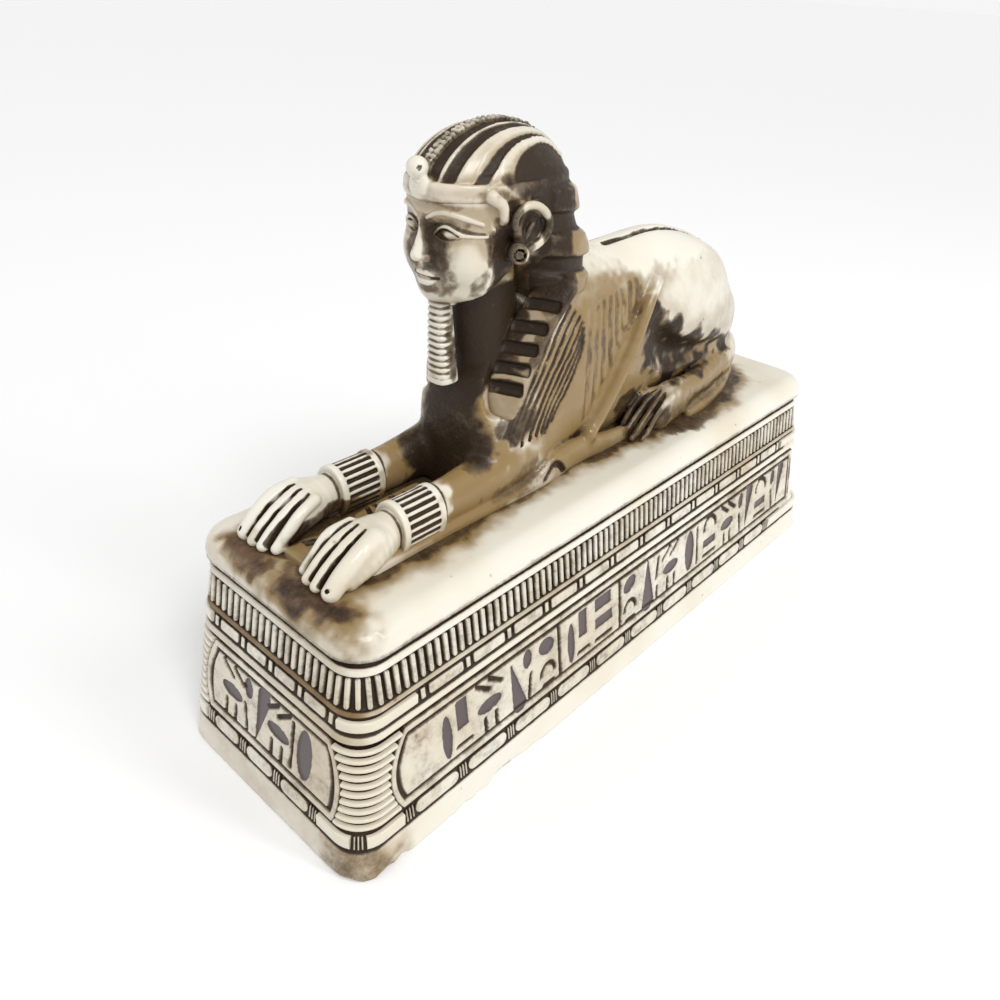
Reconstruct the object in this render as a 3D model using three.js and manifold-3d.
// A small recumbent sphinx with human hands, cast in one piece with its battered plinth.
// Millimetres, +Z up. The figure looks along -Y, its left side is +X, and the origin is the
// middle of the flat underside.

import * as THREE from 'three';
import { mergeVertices } from 'three/addons/utils/BufferGeometryUtils.js';
import Module from 'manifold-3d';

const wasm = await Module();
wasm.setup();

// ---------------------------------------------------------------- driving dimensions

// Plinth plan, measured at the groove under the top slab, and how far each wall leans: left
// (+X), rear, right and front. The casting is not quite true, and its right wall is steeper.
const HALF_WIDTH = 19.7;
const HALF_LENGTH = 68.75;
const CORNER_RADIUS = 5.4;
const LEAN = [0.174, 0.174, 0.05, 0.174];

// Plinth heights, from the underside up.
const BASE_TOP = 4.9;
const LOWER_BORDER = { from: 5.5, to: 8.3 };
const PANEL = { from: 8.9, to: 22.9 };
const UPPER_FILLET = { from: 23.5, to: 24.5 };
const UPPER_BORDER = { from: 25.2, to: 27.4 };
const LEDGE = { from: 27.9, to: 28.5 };
const TOP_FILLET = { from: 34.1, to: 35.5 };
const SLAB = { from: 36.5, to: 41.2 };

// Depths of the plinth's carving, out from the leaning wall.
const LINE_DEPTH = 0.5;
const GROOVE_DEPTH = 0.8;
const STROKE_DEPTH = 0.5;
const BURIED = 0.8;

// The frieze of upright reeds, and the borders of blocks.
const REEDS = { long: 66, short: 15, corner: 5, crest: -0.05, valley: -0.55 };
// The slots that part the borders into blocks, for the left, rear, right and front walls: where
// the first one is along the wall, the pitch, and how many. The hidden rear wall has none, and
// the right wall every second one.
const SLOT_WIDTH = 2.0;
const NO_SLOTS = { first: 0, pitch: 0, count: 0 };
const LOWER_SLOTS = [
  { first: -63.2, pitch: 11.7, count: 11 },
  NO_SLOTS,
  { first: -58.5, pitch: 23.4, count: 6 },
  { first: -13.9, pitch: 9.35, count: 4 },
];
const UPPER_SLOTS = [
  { first: -57.6, pitch: 9.6, count: 13 },
  NO_SLOTS,
  { first: -57.6, pitch: 19.2, count: 7 },
  { first: -13.5, pitch: 7.3, count: 5 },
];

// Ribbed corners and the bowed ends of the inscription panels.
const HOOPS = { count: 10, lead: 0.8, crest: 0.4, valley: 0.04 };
const BOW = { inset: 3.4, bulge: 1.8, width: 1.0, height: 0.35 };

// The whole figure stands a millimetre to the right of the middle of the slab, and the slab
// stands to the left of the middle of the underside because the walls lean unequally.
const FIGURE_X = -1;
const SLAB_X = -0.5 * (LEAN[0] - LEAN[2]) * SLAB.from;

// ---------------------------------------------------------------- solids and lofts

const vec = (x, y, z) => new THREE.Vector3(x, y, z);

function toSolid(geometry) {
  const bare = geometry.index ? geometry.clone() : geometry;
  bare.deleteAttribute('normal');
  bare.deleteAttribute('uv');
  const merged = mergeVertices(bare, 1e-5);
  const mesh = new wasm.Mesh({
    numProp: 3,
    vertProperties: new Float32Array(merged.attributes.position.array),
    triVerts: new Uint32Array(merged.index.array),
  });
  return new wasm.Manifold(mesh);
}

function join(solids) {
  return solids.reduce((whole, piece) => whole.add(piece));
}

function cut(whole, tools) {
  return tools.length ? whole.subtract(join(tools)) : whole;
}

// A closed skin over a row of rings with equal numbers of points, each turning the same way
// round, and a fan at either end.
function ringLoft(rings) {
  const positions = [];
  const triangles = [];
  const count = rings[0].length;
  rings.forEach((ring) => ring.forEach((p) => positions.push(p.x, p.y, p.z)));
  for (let r = 0; r + 1 < rings.length; r += 1) {
    for (let i = 0; i < count; i += 1) {
      const j = (i + 1) % count;
      const a = r * count + i;
      const b = r * count + j;
      triangles.push(a, b, b + count, a, b + count, a + count);
    }
  }
  addCap(rings[0], 0, true);
  addCap(rings[rings.length - 1], (rings.length - 1) * count, false);

  function addCap(ring, first, reversed) {
    const middle = ring.reduce((sum, p) => sum.add(p), vec(0, 0, 0)).divideScalar(count);
    const hub = positions.length / 3;
    positions.push(middle.x, middle.y, middle.z);
    for (let i = 0; i < count; i += 1) {
      const j = (i + 1) % count;
      triangles.push(hub, first + (reversed ? j : i), first + (reversed ? i : j));
    }
  }

  const geometry = new THREE.BufferGeometry();
  geometry.setAttribute('position', new THREE.Float32BufferAttribute(positions, 3));
  geometry.setIndex(triangles);
  return toSolid(geometry);
}

// A superellipse about `centre` in the plane of the unit vectors u and v; `power` 2 is an
// ellipse, and more is boxier. `below` shortens or lengthens the half on the -v side.
function ovalRing({ centre, u, v, halfU, halfV, below = halfV, power = 2, sides = 12 }) {
  const ring = [];
  for (let i = 0; i < sides; i += 1) {
    const angle = (2 * Math.PI * i) / sides;
    const c = Math.cos(angle);
    const s = Math.sin(angle);
    const across = Math.sign(c) * Math.abs(c) ** (2 / power) * halfU;
    const up = Math.sign(s) * Math.abs(s) ** (2 / power) * (s > 0 ? halfV : below);
    ring.push(centre.clone().addScaledVector(u, across).addScaledVector(v, up));
  }
  return ring;
}

// Values of the named fields along a row of stations, smoothed by a Catmull-Rom curve.
function smoothStations(stations, steps) {
  const keys = Object.keys(stations[0]);
  const rows = [];
  for (let i = 0; i <= steps; i += 1) {
    const t = (i / steps) * (stations.length - 1);
    const k = Math.min(Math.floor(t), stations.length - 2);
    const row = {};
    keys.forEach((key) => {
      const at = (n) => stations[Math.max(0, Math.min(stations.length - 1, n))][key];
      row[key] = catmullRom(at(k - 1), at(k), at(k + 1), at(k + 2), t - k);
    });
    rows.push(row);
  }
  return rows;
}

function catmullRom(p0, p1, p2, p3, t) {
  const slopeIn = (p2 - p0) / 2;
  const slopeOut = (p3 - p1) / 2;
  const t2 = t * t;
  const t3 = t2 * t;
  return (2 * t3 - 3 * t2 + 1) * p1 + (t3 - 2 * t2 + t) * slopeIn
    + (-2 * t3 + 3 * t2) * p2 + (t3 - t2) * slopeOut;
}

// A limb: round sections {x, y, z, wide, tall} set square to the path through their centres.
function limb(stations, { steps = 8, sides = 10, power = 2 } = {}) {
  const rows = smoothStations(stations, steps);
  const up = vec(0, 0, 1);
  const rings = rows.map((row, i) => {
    const before = rows[Math.max(0, i - 1)];
    const after = rows[Math.min(rows.length - 1, i + 1)];
    const along = vec(after.x - before.x, after.y - before.y, after.z - before.z).normalize();
    const u = new THREE.Vector3().crossVectors(along, up).normalize();
    const v = new THREE.Vector3().crossVectors(u, along).normalize();
    const centre = vec(row.x, row.y, row.z);
    return ovalRing({ centre, u, v, halfU: row.wide, halfV: row.tall, power, sides }).reverse();
  });
  return ringLoft(rings);
}

// A hand or paw: a limb with a flat sole whose back is parted into lobes by clefts, with
// sections {x, y, z, wide, tall, cleft}.
function lobedLimb(stations, lobes, steps) {
  const rings = smoothStations(stations, steps).map((row) => {
    const ring = [];
    for (let k = 0; k <= 2 * lobes; k += 1) {
      const across = row.wide * (1 - k / lobes);
      const arch = row.tall * (1 - 0.35 * (across / row.wide) ** 2);
      const inCleft = k % 2 === 0 && k > 0 && k < 2 * lobes;
      const drop = inCleft ? row.cleft : 0;
      ring.push(vec(row.x + across, row.y, row.z + arch - drop));
    }
    ring.push(vec(row.x - row.wide, row.y, row.z - row.tall));
    ring.push(vec(row.x + row.wide, row.y, row.z - row.tall));
    return ring.reverse();
  });
  return ringLoft(rings.reverse());
}

function ellipsoid(x, y, z, rx, ry, rz, [columns, rows] = [12, 8]) {
  const ball = new THREE.SphereGeometry(1, columns, rows);
  ball.scale(rx, ry, rz);
  ball.translate(x, y, z);
  return toSolid(ball);
}

function mirrored(solid) {
  return solid.mirror([1, 0, 0]);
}

function bothSides(solids) {
  return [...solids, ...solids.map(mirrored)];
}

// ---------------------------------------------------------------- plinth

// Walls are numbered as in LEAN: each faces a quarter turn on from the one before.
function wallReach(wall, z) {
  const index = (wall + 4) % 4;
  const half = index % 2 === 0 ? HALF_WIDTH : HALF_LENGTH;
  return half + LEAN[index] * Math.max(0, SLAB.from - z);
}

function wallAxes(wall) {
  const turn = (wall * Math.PI) / 2;
  const out = vec(Math.cos(turn), Math.sin(turn), 0);
  return { turn, out, along: vec(-out.y, out.x, 0) };
}

// A point on a wall, from the distance along it, the height, and how far it stands out.
function wallPoint(wall, along, z, relief) {
  const axes = wallAxes(wall);
  return vec(0, 0, z)
    .addScaledVector(axes.out, wallReach(wall, z) + relief)
    .addScaledVector(axes.along, along);
}

// The centre of the round corner that follows a wall.
function cornerHub(wall, z) {
  const axes = wallAxes(wall);
  return vec(0, 0, z)
    .addScaledVector(axes.out, wallReach(wall, z) - CORNER_RADIUS)
    .addScaledVector(axes.along, wallReach(wall + 1, z) - CORNER_RADIUS);
}

// One turn round the plinth at a height. `steps` says into how many parts each long wall,
// short wall and corner is divided, and `ripple` moves every point in or out by its number.
function planRing(z, relief, steps, ripple = () => 0) {
  const ring = [];
  for (let wall = 0; wall < 4; wall += 1) {
    const { turn } = wallAxes(wall);
    const from = CORNER_RADIUS - wallReach(wall - 1, z);
    const to = wallReach(wall + 1, z) - CORNER_RADIUS;
    const parts = wall % 2 === 0 ? steps.long : steps.short;
    for (let i = 0; i < parts; i += 1) {
      const push = relief + ripple(ring.length);
      ring.push(wallPoint(wall, from + ((to - from) * i) / parts, z, push));
    }
    for (let i = 0; i < steps.corner; i += 1) {
      const angle = turn + ((Math.PI / 2) * i) / steps.corner;
      const radius = CORNER_RADIUS + relief + ripple(ring.length);
      const offset = vec(radius * Math.cos(angle), radius * Math.sin(angle), 0);
      ring.push(cornerHub(wall, z).add(offset));
    }
  }
  return ring;
}

const CORNER_STEPS = 3;

function plinthCore() {
  const steps = { long: 1, short: 1, corner: CORNER_STEPS };
  const profile = [
    [0, 0],
    [BASE_TOP, 0],
    [BASE_TOP, -LINE_DEPTH],
    [LOWER_BORDER.from, -LINE_DEPTH],
    [LOWER_BORDER.from, 0],
    [LOWER_BORDER.to, 0],
    [LOWER_BORDER.to, -LINE_DEPTH],
    [PANEL.from, -LINE_DEPTH],
    [PANEL.from, 0],
    [PANEL.to, 0],
    [PANEL.to, -LINE_DEPTH],
    [UPPER_FILLET.from, -LINE_DEPTH],
    [UPPER_FILLET.from, 0],
    [UPPER_FILLET.to, 0],
    [UPPER_FILLET.to, -LINE_DEPTH],
    [UPPER_BORDER.from, -LINE_DEPTH],
    [UPPER_BORDER.from, 0],
    [UPPER_BORDER.to, 0],
    [UPPER_BORDER.to, -LINE_DEPTH],
    [LEDGE.from, -LINE_DEPTH],
    [LEDGE.from, 0],
    [LEDGE.to, 0],
    [LEDGE.to, -GROOVE_DEPTH],
    [TOP_FILLET.from, -GROOVE_DEPTH],
    [TOP_FILLET.from, 0],
    [TOP_FILLET.to, 0],
    [TOP_FILLET.to, -GROOVE_DEPTH],
    [SLAB.from, -GROOVE_DEPTH],
    ...slabEdge(),
  ];
  return ringLoft(profile.map(([z, relief]) => planRing(z, relief, steps)));
}

// The slab's side stands a little proud and rolls over into the flat top.
function slabEdge() {
  const proud = 0.6;
  const roll = { out: 3.6, up: 3.4, steps: 4 };
  const edge = [[SLAB.from, proud - 0.5]];
  for (let i = 0; i <= roll.steps; i += 1) {
    const angle = ((Math.PI / 2) * i) / roll.steps;
    const z = SLAB.to - roll.up + roll.up * Math.sin(angle);
    edge.push([z, proud - roll.out + roll.out * Math.cos(angle)]);
  }
  return edge;
}

// Upright reeds as one zigzag belt between the ledge and the fillet above it.
function reedBelt() {
  const steps = { long: 2 * REEDS.long, short: 2 * REEDS.short, corner: 2 * REEDS.corner };
  const ripple = (i) => (i % 2 === 0 ? REEDS.valley : REEDS.crest);
  return ringLoft([
    planRing(LEDGE.to, -3, steps),
    planRing(LEDGE.to, 0, steps, ripple),
    planRing(TOP_FILLET.from, 0, steps, ripple),
    planRing(TOP_FILLET.from, -3, steps),
  ]);
}

// A slab of wall between corners [along, z], from one relief to another.
function wallBlock(wall, corners, inner, outer) {
  const ringAt = (relief) => corners.map(([along, z]) => wallPoint(wall, along, z, relief));
  return ringLoft([ringAt(inner), ringAt(outer)]);
}

// The slots of one border. They stop short of the lines' full depth.
function borderSlots(band, rows) {
  const slots = [];
  rows.forEach((row, wall) => {
    for (let i = 0; i < row.count; i += 1) {
      const middle = row.first + i * row.pitch;
      const left = middle - SLOT_WIDTH / 2;
      const right = middle + SLOT_WIDTH / 2;
      const low = band.from - 0.2;
      const high = band.to + 0.2;
      const corners = [[left, low], [right, low], [right, high], [left, high]];
      slots.push(wallBlock(wall, corners, 0.05 - LINE_DEPTH, BURIED));
    }
  });
  return slots;
}

// The hooped corner that follows a wall, as one piece with a zigzag upright section.
function hoopedCorner(wall) {
  const { turn, along } = wallAxes(wall);
  const ahead = wallAxes(wall + 1).along;
  const steps = CORNER_STEPS;
  const rings = [];
  for (let level = 0; level <= 2 * HOOPS.count; level += 1) {
    const z = PANEL.from + ((PANEL.to - PANEL.from) * level) / (2 * HOOPS.count);
    const radius = CORNER_RADIUS + (level % 2 === 0 ? HOOPS.valley : HOOPS.crest);
    const hub = cornerHub(wall, z);
    const arc = [];
    for (let i = 0; i <= steps; i += 1) {
      const angle = turn + ((Math.PI / 2) * i) / steps;
      arc.push(hub.clone().add(vec(radius * Math.cos(angle), radius * Math.sin(angle), 0)));
    }
    const start = arc[0].clone().addScaledVector(along, -HOOPS.lead);
    const finish = arc[steps].clone().addScaledVector(ahead, HOOPS.lead);
    rings.push([start, ...arc, finish, hub]);
  }
  return ringLoft(rings);
}

// A low three-cornered ridge that bows across the panel's height near the end of a wall:
// `end` is 1 at the next wall's corner and -1 at the last one's.
function bowRidge(wall, end) {
  const rings = [];
  const steps = 5;
  for (let i = 0; i <= steps; i += 1) {
    const t = i / steps;
    const z = PANEL.from + (PANEL.to - PANEL.from) * (0.04 + 0.92 * t);
    const inset = BOW.inset - BOW.bulge * Math.sin(Math.PI * t) ** 0.8;
    const along = end * (wallReach(wall + end, z) - CORNER_RADIUS - inset);
    rings.push([
      wallPoint(wall, along - BOW.width / 2, z, -BURIED),
      wallPoint(wall, along + BOW.width / 2, z, -BURIED),
      wallPoint(wall, along, z, BOW.height),
    ]);
  }
  return ringLoft(rings);
}

// Rows of plain cut strokes, in cells along a panel. A cell holds one of a few groups of
// bars and wedges, each given as [left, right, bottom, top, lean] in parts of the cell.
const STROKE_GROUPS = [
  [[0.1, 0.28, 0.1, 0.9, 0.1], [0.5, 0.9, 0.55, 0.9, -0.1]],
  [[0.1, 0.85, 0.6, 0.88, 0], [0.2, 0.7, 0.1, 0.36, 0.12]],
  [[0.15, 0.32, 0.1, 0.9, 0.18], [0.55, 0.7, 0.1, 0.9, 0.18]],
  [[0.1, 0.9, 0.12, 0.4, -0.15], [0.4, 0.58, 0.52, 0.9, 0]],
];

function strokeRow(wall, from, to, cells, groupOf) {
  const cellWidth = (to - from) / cells;
  const bottom = PANEL.from + 1.2;
  const height = PANEL.to - PANEL.from - 2.4;
  const strokes = [];
  for (let cell = 0; cell < cells; cell += 1) {
    STROKE_GROUPS[groupOf(cell)].forEach(([left, right, low, high, lean]) => {
      const at = (u, v) => [
        from + cellWidth * (cell + u + lean * (v - 0.5)),
        bottom + height * v,
      ];
      const corners = [at(left, low), at(right, low), at(right, high), at(left, high)];
      strokes.push(wallBlock(wall, corners, -STROKE_DEPTH, BURIED));
    });
  }
  return strokes;
}

function inscription() {
  return [
    ...strokeRow(0, -60, 63, 15, (cell) => (cell * 3 + 1) % 4),
    ...strokeRow(2, -63, 60, 6, (cell) => cell % 4),
    ...strokeRow(3, -13, 15, 4, (cell) => (cell + 2) % 4),
  ];
}

function plinth() {
  const raised = join([
    plinthCore(),
    reedBelt(),
    hoopedCorner(3),
    hoopedCorner(2),
    bowRidge(0, -1),
    bowRidge(2, 1),
    bowRidge(3, 1),
    bowRidge(3, -1),
  ]);
  return cut(raised, [
    ...borderSlots(LOWER_BORDER, LOWER_SLOTS),
    ...borderSlots(UPPER_BORDER, UPPER_SLOTS),
    ...inscription(),
  ]);
}

// ---------------------------------------------------------------- figure

// All the figure's places are measured from its own middle line.

// Sections across the lion's body: half width at the widest, the height of that widest
// place, and the top.
const TORSO = [
  { y: -31.8, wide: 5.6, waist: 51, top: 57 },
  { y: -30.4, wide: 7.8, waist: 52.5, top: 61.5 },
  { y: -28.2, wide: 9.0, waist: 55, top: 66.5 },
  { y: -24, wide: 9.4, waist: 57, top: 73 },
  { y: -10, wide: 9.6, waist: 58, top: 77.8 },
  { y: 6, wide: 8.8, waist: 58, top: 77.8 },
  { y: 20, wide: 8.4, waist: 60, top: 78.2 },
  { y: 32, wide: 8.6, waist: 59, top: 76 },
  { y: 42, wide: 8.0, waist: 57, top: 71.6 },
  { y: 50, wide: 6.4, waist: 54, top: 65 },
  { y: 55, wide: 3.2, waist: 51, top: 57 },
];
const FOOT_Z = SLAB.to - 0.8;
const X_AXIS = vec(1, 0, 0);
const Y_AXIS = vec(0, 1, 0);
const Z_AXIS = vec(0, 0, 1);

function torso() {
  const rings = smoothStations(TORSO, 13).map((row) => ovalRing({
    centre: vec(0, row.y, row.waist),
    u: X_AXIS,
    v: Z_AXIS,
    halfU: row.wide,
    halfV: row.top - row.waist,
    below: row.waist - FOOT_Z,
    power: 2.4,
    sides: 14,
  }).reverse());
  return ringLoft(rings);
}

function haunch() {
  return ellipsoid(3.6, 29, 60, 6.6, 19, 14, [12, 8]);
}

function hindLeg() {
  const shank = limb([
    { x: 5.6, y: 55, z: 46.5, wide: 2.6, tall: 5.0 },
    { x: 8.0, y: 47, z: 46.5, wide: 3.0, tall: 5.2 },
    { x: 10.2, y: 34, z: 45.0, wide: 2.6, tall: 4.0 },
    { x: 11.0, y: 22, z: 45.2, wide: 2.8, tall: 4.6 },
  ], { steps: 4, sides: 8 });
  const paw = lobedLimb([
    { x: 11.0, y: 27, z: 44.4, wide: 2.6, tall: 4.2, cleft: 0 },
    { x: 11.3, y: 20, z: 44.4, wide: 3.4, tall: 5.2, cleft: 0.3 },
    { x: 11.3, y: 14, z: 44.0, wide: 3.8, tall: 4.4, cleft: 1.4 },
    { x: 11.2, y: 10.6, z: 42.6, wide: 3.6, tall: 2.0, cleft: 0.8 },
  ], 3, 3);
  return [shank, paw];
}

const WRIST = { x: 7.2, y: -48, z: 44.6 };

function foreLeg() {
  const arm = limb([
    { x: 5.0, y: -12, z: 47.4, wide: 3.8, tall: 6.8 },
    { x: 6.9, y: -24, z: 46.0, wide: 3.6, tall: 5.4 },
    { x: 7.2, y: -36, z: 45.0, wide: 3.1, tall: 4.4 },
    { x: WRIST.x, y: WRIST.y, z: WRIST.z, wide: 2.8, tall: 3.9 },
  ], { steps: 3, sides: 8 });
  const bracelet = limb([
    { x: WRIST.x, y: WRIST.y + 6.4, z: WRIST.z + 0.4, wide: 3.6, tall: 4.6 },
    { x: WRIST.x, y: WRIST.y + 0.4, z: WRIST.z + 0.2, wide: 3.5, tall: 4.4 },
  ], { steps: 1, sides: 10 });
  const hand = lobedLimb([
    { x: WRIST.x, y: WRIST.y + 1, z: WRIST.z - 0.2, wide: 2.6, tall: 3.6, cleft: 0 },
    { x: WRIST.x + 0.2, y: WRIST.y - 4, z: WRIST.z - 0.2, wide: 3.8, tall: 3.6, cleft: 0 },
    { x: WRIST.x + 0.2, y: WRIST.y - 8, z: WRIST.z - 0.6, wide: 4.2, tall: 3.2, cleft: 0.3 },
    { x: WRIST.x + 0.1, y: WRIST.y - 13.5, z: WRIST.z - 1.8, wide: 4.1, tall: 2.6, cleft: 1.3 },
    { x: WRIST.x, y: WRIST.y - 17, z: WRIST.z - 3.4, wide: 3.9, tall: 1.6, cleft: 0.9 },
  ], 4, 4);
  return [arm, bracelet, hand];
}

// Low ledge that runs along the foot of the body and the arm, with a bump at the elbow.
function baseLedge() {
  return limb([
    { x: 9.4, y: 10, z: 42, wide: 1.4, tall: 2.0 },
    { x: 9.4, y: -6, z: 42, wide: 1.5, tall: 2.2 },
    { x: 9.6, y: -14, z: 42.4, wide: 1.8, tall: 3.4 },
    { x: 9.4, y: -26, z: 41.8, wide: 1.4, tall: 1.8 },
    { x: 9.4, y: -55, z: 41.4, wide: 1.3, tall: 1.5 },
  ], { steps: 4, sides: 5 });
}

// The ridge that comes down the flank from the groin to the ledge.
function flankRidge() {
  return limb([
    { x: 9.0, y: 12, z: 69, wide: 0.9, tall: 0.9 },
    { x: 9.8, y: 5, z: 59, wide: 0.9, tall: 0.9 },
    { x: 9.8, y: -4, z: 47, wide: 1.1, tall: 1.1 },
  ], { steps: 3, sides: 6 });
}

function spineRidge() {
  return limb([
    { x: 0, y: 2, z: 77.4, wide: 1.6, tall: 1.2 },
    { x: 0, y: 20, z: 78.2, wide: 1.8, tall: 1.1 },
    { x: 0, y: 36, z: 74.4, wide: 2.2, tall: 1.2 },
    { x: 0, y: 50, z: 65.4, wide: 2.4, tall: 1.2 },
  ], { steps: 6, sides: 6 });
}

function levelLoft(stations, steps, sides, power) {
  return ringLoft(smoothStations(stations, steps).map((row) => ovalRing({
    centre: vec(0, row.y, row.z),
    u: X_AXIS,
    v: Y_AXIS,
    halfU: row.wide,
    halfV: row.deep,
    power,
    sides,
  })));
}

// The face is a plain calm one set out by the usual thirds: brow, base of nose and chin.
const FACE = { chin: 75.8, nose: 82, mouth: 79.9, brow: 88.2, eye: 86.6, front: -37.8 };

function headSolid() {
  return levelLoft([
    { z: FACE.chin, y: -33.2, wide: 2.6, deep: 3.0 },
    { z: 78.0, y: -31.6, wide: 5.0, deep: 6.0 },
    { z: 82.0, y: -29.4, wide: 7.0, deep: 8.4 },
    { z: 87.0, y: -28.4, wide: 7.8, deep: 9.4 },
    { z: 92.0, y: -28.2, wide: 7.9, deep: 9.8 },
  ], 6, 14, 2.2);
}

function faceFeatures() {
  const nose = limb([
    { x: 0, y: FACE.front - 0.2, z: FACE.brow - 0.4, wide: 0.7, tall: 0.8 },
    { x: 0, y: FACE.front - 1.6, z: FACE.nose + 0.6, wide: 1.5, tall: 1.2 },
  ], { steps: 1, sides: 6 });
  const lips = [
    ellipsoid(0, FACE.front + 0.4, FACE.mouth + 0.5, 2.4, 1.2, 0.6, [6, 3]),
    ellipsoid(0, FACE.front + 0.5, FACE.mouth - 0.6, 2.0, 1.1, 0.7, [6, 3]),
  ];
  const chin = ellipsoid(0, FACE.front + 2.2, FACE.chin + 1.4, 2.4, 2.0, 1.8, [8, 4]);
  const eye = ellipsoid(3.3, FACE.front + 1.9, FACE.eye, 1.7, 1.3, 0.8, [6, 3]);
  const brow = limb([
    { x: 1.4, y: FACE.front + 0.5, z: FACE.brow + 0.3, wide: 0.5, tall: 0.5 },
    { x: 5.6, y: FACE.front + 3.2, z: FACE.brow + 0.1, wide: 0.5, tall: 0.4 },
  ], { steps: 1, sides: 5 });
  return [nose, ...lips, chin, ...bothSides([eye, brow])];
}

// The headcloth's cap, in sections side by side, its stripes raised and sunk in turn. Each
// stripe edge is a pair [distance from the middle, relief].
const CAP = { middle: -24.6, foot: 90.5, wide: 9.0, deep: 14.0, tall: 9.3 };
const CAP_EDGES = [
  [1.0, 0.35], [1.4, -0.2], [3.8, -0.2], [4.2, 0.2], [5.4, 0.2], [5.8, -0.2], [6.6, -0.2],
  [7.0, 0.2], [8.8, -0.2],
];

function nemesCap() {
  const across = [
    ...CAP_EDGES.map(([x, relief]) => [-x, relief]).reverse(),
    ...CAP_EDGES,
  ];
  return ringLoft(across.map(([x, relief]) => {
    const narrowing = Math.sqrt(Math.max(0.04, 1 - (x / CAP.wide) ** 2));
    return ovalRing({
      centre: vec(x, CAP.middle, CAP.foot),
      u: Y_AXIS,
      v: Z_AXIS,
      halfU: CAP.deep * narrowing + relief,
      halfV: CAP.tall * narrowing + relief,
      below: 2,
      power: 2.1,
      sides: 12,
    });
  }));
}

// The forehead band, and the mass of cloth that hangs behind the ears in thick folds.
function nemesBand() {
  return levelLoft([
    { z: 90.4, y: -24.4, wide: 8.7, deep: 13.9 },
    { z: 91.6, y: -24.4, wide: 9.2, deep: 14.4 },
    { z: 92.8, y: -24.4, wide: 8.9, deep: 14.0 },
  ], 2, 14, 2.1);
}

function nemesFall() {
  return levelLoft([
    { z: 71.0, y: -13, wide: 8.0, deep: 6.0 },
    { z: 75.0, y: -13.5, wide: 10.0, deep: 7.2 },
    { z: 79.0, y: -14.8, wide: 10.5, deep: 7.8 },
    { z: 82.0, y: -16, wide: 10.7, deep: 8.4 },
    { z: 86.0, y: -17.6, wide: 9.7, deep: 7.9 },
    { z: 89.0, y: -18.6, wide: 9.3, deep: 8.8 },
    { z: 92.0, y: -20, wide: 8.6, deep: 9.2 },
  ], 6, 14, 2.2);
}

function neck() {
  return limb([
    { x: 0, y: -24.4, z: 66, wide: 6.2, tall: 6.2 },
    { x: 0, y: -26, z: 82, wide: 5.2, tall: 5.2 },
  ], { steps: 1, sides: 10 });
}

function beard() {
  return limb([
    { x: 0, y: -34.4, z: 77, wide: 1.7, tall: 1.6 },
    { x: 0, y: -33.6, z: 62, wide: 2.2, tall: 1.9 },
  ], { steps: 1, sides: 8 });
}

// A lappet: a slab that hangs beside the beard and faces forward and a little outward.
function lappet() {
  const across = vec(0.9, 0.436, 0);
  const back = vec(-0.436, 0.9, 0);
  const stations = [
    { x: 7.7, y: -26.6, z: 59.2, wide: 2.5 },
    { x: 7.9, y: -25.6, z: 64.2, wide: 3.1 },
    { x: 8.3, y: -24.0, z: 69.0, wide: 3.2 },
    { x: 8.8, y: -21.0, z: 73.5, wide: 3.1 },
    { x: 9.0, y: -17.3, z: 78.0, wide: 2.8 },
  ];
  return ringLoft(stations.map((row) => ovalRing({
    centre: vec(row.x, row.y, row.z),
    u: across,
    v: back,
    halfU: row.wide,
    halfV: 1.3,
    power: 4,
    sides: 8,
  })));
}

function ear() {
  return [
    ellipsoid(8.5, -26.0, 87.3, 1.5, 2.5, 3.4, [6, 5]),
    ellipsoid(8.2, -28.0, 83.7, 1.8, 1.7, 1.7, [6, 3]),
  ];
}

function uraeus() {
  return [
    ellipsoid(0, -38.6, 94.6, 1.5, 1.6, 1.5, [6, 4]),
    ellipsoid(0, -38.4, 92.4, 1.9, 1.2, 2.2, [6, 4]),
  ];
}

function figure() {
  const paired = [
    haunch(),
    ...hindLeg(),
    ...foreLeg(),
    baseLedge(),
    flankRidge(),
    lappet(),
    ...ear(),
  ];
  return join([
    torso(),
    spineRidge(),
    neck(),
    headSolid(),
    ...faceFeatures(),
    nemesCap(),
    nemesBand(),
    nemesFall(),
    beard(),
    ...uraeus(),
    ...bothSides(paired),
  ]);
}

// ---------------------------------------------------------------- assembly

function toMesh(solid, name, material) {
  const { vertProperties, triVerts, numProp } = solid.getMesh();
  const positions = [];
  for (let i = 0; i < vertProperties.length; i += numProp) {
    positions.push(vertProperties[i], vertProperties[i + 1], vertProperties[i + 2]);
  }
  const geometry = new THREE.BufferGeometry();
  geometry.setAttribute('position', new THREE.Float32BufferAttribute(positions, 3));
  geometry.setIndex(Array.from(triVerts));
  geometry.computeVertexNormals();
  const mesh = new THREE.Mesh(geometry, material);
  mesh.name = name;
  return mesh;
}

const ivoryResin = new THREE.MeshStandardMaterial({ color: 0xe4dcc4, roughness: 0.3, metalness: 0 });

const sphinx = new THREE.Group();
const casting = plinth().add(figure().translate([FIGURE_X, 0, 0])).translate([SLAB_X, 0, 0]);
sphinx.add(toMesh(casting, 'sphinx_on_plinth', ivoryResin));

export default sphinx;
